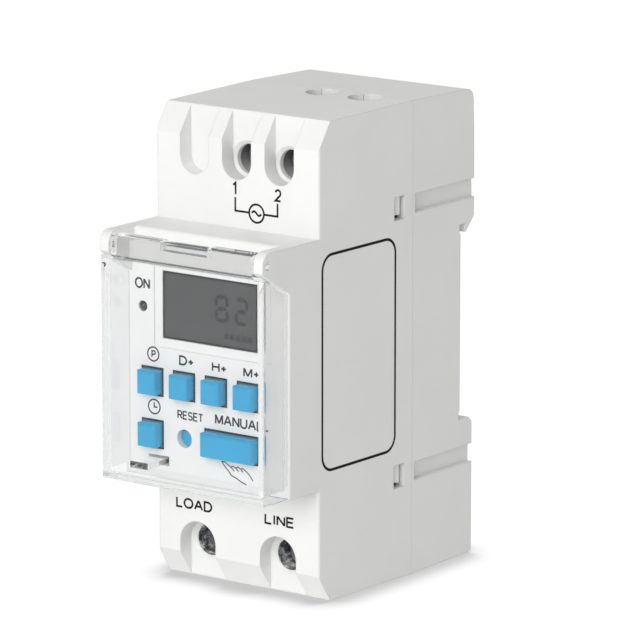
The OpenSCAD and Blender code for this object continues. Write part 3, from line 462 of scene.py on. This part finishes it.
def dress_nodes():
    """Gives each CAD node the finish of its record slot and returns the case's finish."""
    finishes = {
        "case_plastic": moulded("case_white", (0.82, 0.82, 0.81), 0.42),
        "clear_cover": clear_plastic("cover_clear"),
        "button_blue": satin_blue("button_blue", (0.003, 0.345, 0.62)),
        "spring_steel": plated("spring_steel", (0.6, 0.61, 0.63), 0.3),
        "screw_steel": plated("screw_steel", (0.62, 0.63, 0.65), 0.3, turned=True),
        "cage_steel": plated("cage_steel", (0.58, 0.58, 0.6), 0.38),
        "contact_brass": plated("contact_brass", (0.72, 0.52, 0.24), 0.3),
        "switch_metal": plated("switch_metal", (0.6, 0.6, 0.62), 0.35),
        "plunger_black": part_finish("plunger_black", (0.02, 0.02, 0.02), 0.45),
        "lcd_dark": lcd_face("lcd_dark"),
        "strip_rubber": part_finish("strip_rubber", (0.55, 0.25, 0.3), 0.7),
        "led_red": lens_red("led_red"),
        "board_green": solder_mask("board_green"),
        "component_black": part_finish("component_black", (0.025, 0.025, 0.03), 0.5),
        "cell_steel": plated("cell_steel", (0.64, 0.65, 0.67), 0.25),
        "film_yellow": part_finish("film_yellow", (0.62, 0.38, 0.04), 0.35, coat=0.4),
        "can_sleeve": part_finish("can_sleeve", (0.02, 0.04, 0.12), 0.3, coat=0.4),
        "varistor_blue": part_finish("varistor_blue", (0.02, 0.06, 0.28), 0.35, coat=0.4),
        "resistor_body": part_finish("resistor_body", (0.25, 0.42, 0.5), 0.4, coat=0.3),
    }
    for row in frame["record"]["subparts"]:
        thing = frame["nodes"][row["node"]]
        finish = finishes[row["material_slot"]]
        if thing.material_slots:
            for slot in thing.material_slots:
                slot.material = finish
        else:
            thing.data.materials.append(finish)
    return finishes["case_plastic"]


# ---------------------------------------------------------------- added pieces


def add_piece(name, mesh, material, matrix=None):
    """Turns a bmesh into a piece that rides the case."""
    data = bpy.data.meshes.new(name)
    mesh.to_mesh(data)
    mesh.free()
    if matrix is not None:
        data.transform(matrix)
    data.materials.append(material)
    thing = bpy.data.objects.new(name, data)
    bpy.context.collection.objects.link(thing)
    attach(thing, "case")


def make_latch_pocket(material):
    """Tray behind the latch slot that keeps the slot from looking into the dark case."""
    left, right = -13.2 * MM, -7.2 * MM
    bottom, top = -20.7 * MM, -17.35 * MM
    front, back, wall = PANEL_Y + 1.75 * MM, PANEL_Y + 3.6 * MM, 0.2 * MM
    profile = [(front, bottom), (back, bottom), (back, top), (front, top), (front, top - wall),
               (back - wall, top - wall), (back - wall, bottom + wall), (front, bottom + wall)]
    mesh = bmesh.new()
    ends = [[mesh.verts.new((x, y, z)) for y, z in profile] for x in (left, right)]
    for i in range(len(profile)):
        j = (i + 1) % len(profile)
        mesh.faces.new((ends[0][i], ends[0][j], ends[1][j], ends[1][i]))
    for end in ends:
        mesh.faces.new(end)
    bmesh.ops.recalc_face_normals(mesh, faces=mesh.faces)
    add_piece("latch_pocket", mesh, material)


# ---------------------------------------------------------------- printed marks


def arc(cu, cv, ru, rv, start, end, steps=14):
    """Points of an elliptic arc, in degrees from +u towards +v."""
    turns = [math.radians(start + (end - start) * i / steps) for i in range(steps + 1)]
    return [(cu + ru * math.cos(turn), cv + rv * math.sin(turn)) for turn in turns]


def bowl(low):
    """The closed upper bowl of a P or an R, from the stem and back to it."""
    mid, half = (1 + low) / 2, (1 - low) / 2
    return [(0, 1), *arc(0.6, mid, 0.4, half, 90, -90), (0, low)]


OVAL = arc(0.5, 0.5, 0.5, 0.5, 0, 352.5, 47)

# Width of each letter against its height, and its strokes in a cell one wide and one high
LETTERS = {
    "A": (0.78, [[(0, 0), (0.48, 1)], [(0.52, 1), (1, 0)], [(0.18, 0.34), (0.82, 0.34)]]),
    "D": (0.72, [[(0, 0), (0, 1), *arc(0.45, 0.5, 0.55, 0.5, 90, -90), (0, 0)]]),
    "E": (0.60, [[(1, 1), (0, 1), (0, 0), (1, 0)], [(0, 0.52), (0.9, 0.52)]]),
    "H": (0.68, [[(0, 0), (0, 1)], [(1, 0), (1, 1)], [(0, 0.53), (1, 0.53)]]),
    "I": (0.10, [[(0.5, 0), (0.5, 1)]]),
    "L": (0.55, [[(0, 1), (0, 0), (1, 0)]]),
    "M": (0.78, [[(0, 0), (0, 1)], [(0.04, 0.94), (0.5, 0.06)], [(0.5, 0.06), (0.96, 0.94)],
                 [(1, 1), (1, 0)]]),
    "N": (0.66, [[(0, 0), (0, 1)], [(0.05, 0.93), (0.95, 0.07)], [(1, 0), (1, 1)]]),
    "O": (0.86, [OVAL + OVAL[:1]]),
    "P": (0.62, [[(0, 0), *bowl(0.46)]]),
    "R": (0.64, [[(0, 0), *bowl(0.48)], [(0.55, 0.48), (1, 0)]]),
    "S": (0.62, [arc(0.5, 0.745, 0.46, 0.255, 20, 262) + arc(0.5, 0.25, 0.5, 0.25, 78, -160)]),
    "T": (0.64, [[(0, 1), (1, 1)], [(0.5, 1), (0.5, 0)]]),
    "U": (0.68, [[(0, 1), *arc(0.5, 0.36, 0.5, 0.36, 180, 360), (1, 1)]]),
    "+": (0.50, [[(0, 0.42), (1, 0.42)], [(0.5, 0.12), (0.5, 0.72)]]),
    "2": (0.58, [[*arc(0.5, 0.7, 0.48, 0.3, 165, -35), (0, 0), (1, 0)]]),
}


class Print:
    """Flat ink shapes drawn in (x, z) millimetres, laid on one face as one thin mesh."""

    def __init__(self):
        self.mesh = bmesh.new()

    def point(self, x, z):
        return self.mesh.verts.new((x, 0, z))

    def face(self, points):
        """Adds a flat polygon."""
        self.mesh.faces.new([self.point(x, z) for x, z in points])

    def ring(self, cx, cz, radius, width, steps=48):
        """Adds a round band."""
        inner, outer = radius - width / 2, radius + width / 2
        pairs = []
        for i in range(steps):
            c, s = math.cos(math.tau * i / steps), math.sin(math.tau * i / steps)
            pairs.append((self.point(cx + inner * c, cz + inner * s),
                          self.point(cx + outer * c, cz + outer * s)))
        for i in range(steps):
            a, b = pairs[i], pairs[(i + 1) % steps]
            self.mesh.faces.new((a[0], a[1], b[1], b[0]))

    def line(self, points, width, closed=False):
        """Adds an open or closed line of even width, mitred at its corners.

        At sharp corners the least cosine keeps the mitre short.
        """
        least_cosine = 0.35
        count = len(points)
        pairs = []
        for i, (x, z) in enumerate(points):
            before = points[i - 1] if i or closed else None
            after = points[(i + 1) % count] if i < count - 1 or closed else None
            sides = []
            for a, b in ((before, (x, z)), ((x, z), after)):
                if a is not None and b is not None:
                    away = Vector((b[0] - a[0], b[1] - a[1])).normalized()
                    sides.append(Vector((-away.y, away.x)))
            normal = sum(sides, Vector((0, 0))).normalized()
            reach = width / 2 / max(least_cosine, normal.dot(sides[0]))
            pairs.append((self.point(x - normal.x * reach, z - normal.y * reach),
                          self.point(x + normal.x * reach, z + normal.y * reach)))
        for i in range(count if closed else count - 1):
            a, b = pairs[i], pairs[(i + 1) % count]
            self.mesh.faces.new((a[0], b[0], b[1], a[1]))

    def frame(self, left, right, bottom, top, width):
        """Adds the outline of a rectangle."""
        self.line([(left, bottom), (right, bottom), (right, top), (left, top)], width, closed=True)

    def words(self, text, cx, cz, height, width, stroke):
        """Adds a word in plain even strokes, centred on (cx, cz) and as wide as told."""
        gap = 0.24
        units = sum(LETTERS[letter][0] for letter in text) + gap * (len(text) - 1)
        across = (width - stroke) / units
        tall = height - stroke
        x = cx - (width - stroke) / 2
        for letter in text:
            wide, strokes = LETTERS[letter]
            for points in strokes:
                closed = points[0] == points[-1]
                path = [(x + u * wide * across, cz + (v - 0.5) * tall) for u, v in points]
                self.line(path[:-1] if closed else path, stroke, closed)
            x += (wide + gap) * across

    def lay(self, name, matrix, material):
        """Thickens the drawing by the ink's thickness and lays it on its face."""
        bmesh.ops.recalc_face_normals(self.mesh, faces=self.mesh.faces)
        for face in self.mesh.faces:
            if face.normal.y > 0:
                face.normal_flip()
        made = bmesh.ops.extrude_face_region(self.mesh, geom=self.mesh.faces[:])
        raised = [g for g in made["geom"] if isinstance(g, bmesh.types.BMVert)]
        bmesh.ops.translate(self.mesh, verts=raised, vec=(0, INK / MM, 0))
        bmesh.ops.recalc_face_normals(self.mesh, faces=self.mesh.faces)
        add_piece(name, self.mesh, material, matrix @ Matrix.Scale(MM, 4))


def on_front(y):
    """Places a drawing on a face that looks to the front, at depth y."""
    return Matrix.Translation((0, y - INK, 0))


def on_side(x):
    """Places a drawing on the right side: its x runs from the front to the back."""
    turn = Matrix(((0, -1, 0, 0), (1, 0, 0, 0), (0, 0, 1, 0), (0, 0, 0, 1)))
    return Matrix.Translation((x + INK, 0, 0)) @ turn


def round_box(x0, x1, z0, z1, radius, steps=10):
    """Outline of a rectangle with round corners."""
    points = []
    for cx, cz, start in ((x1 - radius, z1 - radius, 0), (x0 + radius, z1 - radius, 90),
                          (x0 + radius, z0 + radius, 180), (x1 - radius, z0 + radius, 270)):
        for i in range(steps + 1):
            turn = math.radians(start + 90 * i / steps)
            points.append((cx + radius * math.cos(turn), cz + radius * math.sin(turn)))
    return points


def print_terminal_marks(material):
    """Numbers, supply symbol and the words under and over the screws."""
    stroke = 0.37
    supply_x, supply_z, supply_radius = 4.42, 25.6, 1.62
    wave_long, wave_high, wave_steps = 2.1, 0.36, 24
    marks = Print()
    marks.line([(-0.72, 30.15), (-0.2, 30.62), (-0.2, 28.55)], stroke)
    marks.words("2", 9.15, 29.35, 2.3, 1.5, stroke)
    marks.words("LOAD", -9.8, -29.05, 2.0, 8.2, stroke)
    marks.words("LINE", 9.35, -29.15, 2.0, 6.6, stroke)
    marks.ring(supply_x, supply_z, supply_radius, stroke)
    marks.line([(-0.28, 28.0), (-0.28, supply_z), (supply_x - supply_radius, supply_z)], stroke)
    marks.line([(supply_x + supply_radius, supply_z), (9.05, supply_z), (9.05, 27.9)], stroke)
    parts = [i / wave_steps for i in range(wave_steps + 1)]
    marks.line([(supply_x + wave_long * (part - 0.5),
                 supply_z + wave_high * math.sin(math.tau * part)) for part in parts], stroke)
    marks.lay("terminal_marks", on_front(SHOULDER_Y), material)


def print_panel_marks(material):
    """Names of the buttons and the lamp."""
    stroke, fine = 0.34, 0.27
    clock_x, clock_z = -11.2, -9.5
    marks = Print()
    marks.words("ON", -13.7, 12.5, 2.0, 3.4, stroke)
    marks.ring(-11.35, 0.0, 1.25, fine)
    marks.words("P", -11.27, 0.0, 1.4, 1.0, fine)
    marks.words("D+", -3.9, -0.3, 1.8, 3.3, stroke)
    marks.words("H+", 3.4, -0.5, 1.8, 3.3, stroke)
    marks.words("M+", 10.5, -0.55, 1.8, 3.6, stroke)
    marks.ring(clock_x, clock_z, 1.3, fine)
    marks.line([(clock_x, clock_z + 0.8), (clock_x, clock_z - 0.05),
                (clock_x + 0.7, clock_z - 0.05)], fine)
    marks.words("RESET", -3.1, -10.15, 1.6, 5.8, fine)
    marks.words("MANUAL", 7.7, -9.8, 1.95, 10.6, stroke)
    marks.lay("panel_marks", on_front(PANEL_Y), material)


def print_key_gap_shadow(material):
    """Painted shadow of the gap close round the cap of each button with straight sides, in ink."""
    gap_shadow_width, off_cap = 0.32, 0.07
    inset = KEY_RIM - off_cap - gap_shadow_width / 2
    marks = Print()
    for name in ("program", "day", "hour", "minute", "clock", "manual"):
        low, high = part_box("button_" + name)
        marks.frame(low[0] / MM + inset, high[0] / MM - inset, low[2] / MM + inset,
                    high[2] / MM - inset, gap_shadow_width)
    marks.lay("key_gap_shadow", on_front(PANEL_Y), material)


def print_hand(material):
    """A plain pointing hand beside the wide button."""
    stroke = 0.2
    marks = Print()
    marks.line([(9.3, -20.7), (8.2, -20.4), (7.2, -19.9), (6.2, -19.6), (5.8, -19.3),
                (5.5, -18.9), (4.8, -18.3), (4.2, -17.7), (3.9, -17.3), (4.5, -17.25),
                (5.9, -18.05), (6.15, -17.85), (6.4, -17.8), (7.0, -18.1), (7.3, -17.85),
                (7.5, -17.8), (8.1, -18.1), (8.35, -17.95), (8.65, -17.95), (9.4, -18.4),
                (10.1, -19.0), (10.8, -19.85)], stroke)
    for knuckle, end in (((5.9, -18.05), (6.65, -18.65)), ((7.0, -18.1), (7.65, -18.6)),
                         ((8.1, -18.1), (8.6, -18.6))):
        marks.line([knuckle, end], stroke)
    marks.lay("hand_mark", on_front(PANEL_Y), material)


def print_side_outline(material):
    """Rounded outline of the data field on the right side, left without lettering."""
    stroke = 0.5
    marks = Print()
    marks.line(round_box(-41.9, -20.3, -19.3, 19.4, 2.8), stroke, closed=True)
    marks.lay("side_outline", on_side(SIDE_X), material)


# ---------------------------------------------------------------- display

# Bars of each digit that shows faintly on the display
SEGMENTS = {"2": "abged", "8": "abcdefg"}


def seven_segment(marks, digit, x, z, w, h, t):
    """Draws the bars of one digit, t thick, with its lower left corner at (x, z)."""
    half = h / 2
    gap = t * 0.12
    flat = {"a": z + h - t / 2, "g": z + half, "d": z + t / 2}
    tall = {"f": (x + t / 2, z + half, z + h), "b": (x + w - t / 2, z + half, z + h),
            "e": (x + t / 2, z, z + half), "c": (x + w - t / 2, z, z + half)}
    for bar in SEGMENTS[digit]:
        if bar in flat:
            mid, left, right = flat[bar], x + gap + t / 2, x + w - gap - t / 2
            marks.face([(left, mid), (left + t / 2, mid - t / 2), (right - t / 2, mid - t / 2),
                        (right, mid), (right - t / 2, mid + t / 2), (left + t / 2, mid + t / 2)])
        else:
            mid, low, high = tall[bar]
            low, high = low + gap + t / 4, high - gap - t / 4
            marks.face([(mid, low), (mid + t / 2, low + t / 2), (mid + t / 2, high - t / 2),
                        (mid, high), (mid - t / 2, high - t / 2), (mid - t / 2, low + t / 2)])


def make_display():
    """Faint resting segments on the display glass, and a thin dark rim on its raised face."""
    digit_z, digit_w, digit_h, bar = 7.5, 3.1, 5.0, 0.75
    flag_x, flag_z, flag_w, flag_h = 4.3, 4.7, 0.9, 1.0
    flag_step, flag_count = 1.3, 5
    rim_width = 0.32
    faint = ink("segment_faint", (0.02, 0.021, 0.022), 0.45)
    rim = ink("display_rim", (0.008, 0.008, 0.009), 0.45)
    marks = Print()
    seven_segment(marks, "8", 2.2, digit_z, digit_w, digit_h, bar)
    seven_segment(marks, "2", 6.5, digit_z, digit_w, digit_h, bar)
    for i in range(flag_count):
        left = flag_x + i * flag_step
        right = left + flag_w
        marks.face([(left, flag_z), (right, flag_z), (right, flag_z + flag_h),
                    (left, flag_z + flag_h)])
    marks.lay("display_segments", on_front(glass_low[1]), faint)
    rims = Print()
    half = rim_width / 2
    rims.frame(glass_low[0] / MM + GLASS_EDGE_SIDE + half,
               glass_high[0] / MM - GLASS_EDGE_SIDE - half,
               glass_low[2] / MM + GLASS_EDGE_BELOW + half,
               glass_high[2] / MM - GLASS_EDGE_ABOVE - half, rim_width)
    rims.lay("display_rim", on_front(glass_low[1]), rim)


# ---------------------------------------------------------------- stage and light


def make_stage():
    """White floor under the case, with a soft grey contact shadow painted into its glow around its
    foot.

    Reflections see it dimmer, as the clear cover mirrors little of it.
    """
    half, floor_z = 3.0, cad_low[2]
    shadow_reach, shadow_tone, open_tone = 9 * MM, 0.58, 1.02
    lift, mirrored_tone = 0.18, 0.25
    n = Finish("floor_white")
    n.set(color=(0.86, 0.86, 0.86, 1), rough=0.9, specular=0.1)
    path = n.add("ShaderNodeLightPath").outputs
    near = n.add("ShaderNodeAmbientOcclusion", samples=12)
    near.inputs["Distance"].default_value = shadow_reach
    # painted shadow: the glow seen by the camera dims where ambient occlusion is low
    painted_shadow_glow = n.emission(n.span(near.outputs["AO"], shadow_tone, open_tone, 0.5, 0.95, smooth=True))
    lifted = n.add("ShaderNodeAddShader")
    n.join(n.shader.outputs["BSDF"], lifted.inputs[0])
    n.join(n.emission(lift), lifted.inputs[1])
    unseen = n.mix_shaders(path["Is Glossy Ray"], lifted.outputs["Shader"],
                           n.emission(mirrored_tone))
    direct = n.math("MAXIMUM", path["Is Camera Ray"], n.bent_rays(path))
    n.show(n.mix_shaders(direct, unseen, painted_shadow_glow))
    data = bpy.data.meshes.new("floor")
    data.from_pydata([(-half, -half, floor_z), (half, -half, floor_z), (half, half, floor_z),
                      (-half, half, floor_z)], [], [(0, 1, 2, 3)])
    data.materials.append(n.material)
    floor = bpy.data.objects.new("floor", data)
    bpy.context.collection.objects.link(floor)


def make_world():
    """Pale studio surroundings, white to the camera and else a little lighter above.

    Rays bent by the clear cover see bright walls ahead and behind, and darker ones at the
    sides, above and below, as edges of clear plastic show in a studio. Reflections see
    light ahead of the camera and dusk on its own side.
    """
    sky_low, sky_high = 0.36, 0.52
    mirrored_back, mirrored_ahead = 0.12, 0.58
    wall_beside, wall_ahead = 0.24, 0.78
    world = bpy.data.worlds.new("studio")
    bpy.context.scene.world = world
    world.use_nodes = True
    n = Tree(world.node_tree)
    path = n.add("ShaderNodeLightPath").outputs
    toward = n.add("ShaderNodeTexCoord").outputs["Generated"]
    azimuth = math.radians(CAMERA_AZIMUTH)
    along = n.add("ShaderNodeVectorMath", operation="DOT_PRODUCT")
    along.inputs[1].default_value = (-math.sin(azimuth), math.cos(azimuth), 0)
    n.join(toward, along.inputs[0])
    ahead = along.outputs["Value"]
    soft = n.background(n.span(n.split(toward)["Z"], sky_low, sky_high, -1.0, 1.0))
    mirrored = n.background(n.span(ahead, mirrored_back, mirrored_ahead, -0.2, 0.6, smooth=True))
    walls = n.background(n.span(n.math("ABSOLUTE", ahead), wall_beside, wall_ahead, 0.35, 0.9,
                                smooth=True))
    around = n.mix_shaders(path["Is Glossy Ray"], soft, mirrored)
    lit = n.mix_shaders(n.bent_rays(path), around, walls)
    shown = n.mix_shaders(path["Is Camera Ray"], lit, n.background(1.0))
    n.join(shown, n.add("ShaderNodeOutputWorld").inputs["Surface"])


def make_light():
    """One broad soft box, a little to the right of the front and above it."""
    place, target = Vector((0.2, -1.06, 0.52)), Vector((0, -0.02, 0))
    data = bpy.data.lights.new("key", "AREA")
    data.size = 0.8
    data.energy = 8.9
    light = bpy.data.objects.new("key", data)
    bpy.context.collection.objects.link(light)
    light.location = place
    light.rotation_euler = (target - place).to_track_quat("-Z", "Y").to_euler()


def main():
    make_camera()
    case_white = dress_nodes()
    make_latch_pocket(case_white)
    black = ink("ink_black", (0.005, 0.005, 0.0055))
    grey = ink("ink_grey", (0.012, 0.012, 0.013))
    print_terminal_marks(black)
    print_panel_marks(black)
    # painted shadow: dark ink lines in the gaps round the buttons
    print_key_gap_shadow(black)
    print_hand(grey)
    print_side_outline(black)
    make_display()
    make_stage()
    make_world()
    make_light()
    bpy.context.scene.view_settings.view_transform = "Standard"


main()
